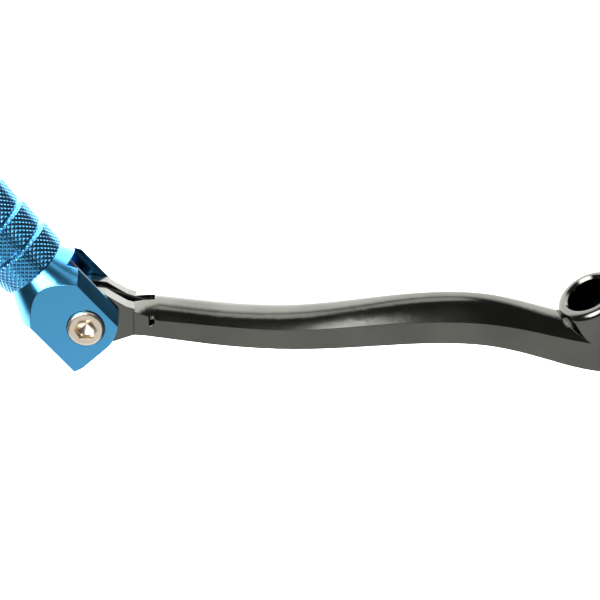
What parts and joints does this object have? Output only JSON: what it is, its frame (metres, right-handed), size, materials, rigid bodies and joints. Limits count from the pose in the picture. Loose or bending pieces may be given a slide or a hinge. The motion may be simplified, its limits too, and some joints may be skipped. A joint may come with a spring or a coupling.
{
  "type": "folding-tip motorcycle gear shift lever",
  "caption": "Slim forged shift lever with an S-curved arm, a splined pinch clamp at one end and a knurled folding toe peg on a sprung pivot at the other.",
  "frame": {"origin": "centre of the splined clamp bore, on its axis at the middle of its length", "axes": "+Z along the clamp bore, outward from the engine; +X from the bore towards the toe end, in the plane of the bore axis and the arm's long line; +Y completes the right-handed frame, on the side of the pivot bolt's head"},
  "size_m": [0.1561, 0.0325, 0.1176],
  "materials": {
    "black_anodised": "polished black anodised forging",
    "blue_anodised": "bright blue anodised, machined and knurled",
    "stainless": "plain machined stainless steel",
    "bush_steel": "ground steel",
    "washer_plastic": "low-friction plastic",
    "spring_steel": "spring wire",
    "zinc_steel": "zinc-plated steel"
  },
  "bodies": {
    "lever_arm": {"arm": "black_anodised", "torsion_spring": "spring_steel", "pinch_bolt": "zinc_steel", "pinch_washer": "zinc_steel"},
    "toe_tip": {"toe_peg": "blue_anodised", "pivot_bolt": "stainless", "pivot_bush": "bush_steel", "thrust_washer_near": "washer_plastic", "thrust_washer_far": "washer_plastic"}
  },
  "joints": [
    {"name": "tip_fold", "type": "hinge", "parent": "lever_arm", "child": "toe_tip", "pos_m": [0.11534, 0.00148, 0.06005], "axis": [0.1103, -0.9681, -0.2248], "range_deg": [0, 70], "stiffness_Nm_per_rad": 0.25, "springref_deg": -45.84, "deforming": ["torsion_spring"]}
  ]
}
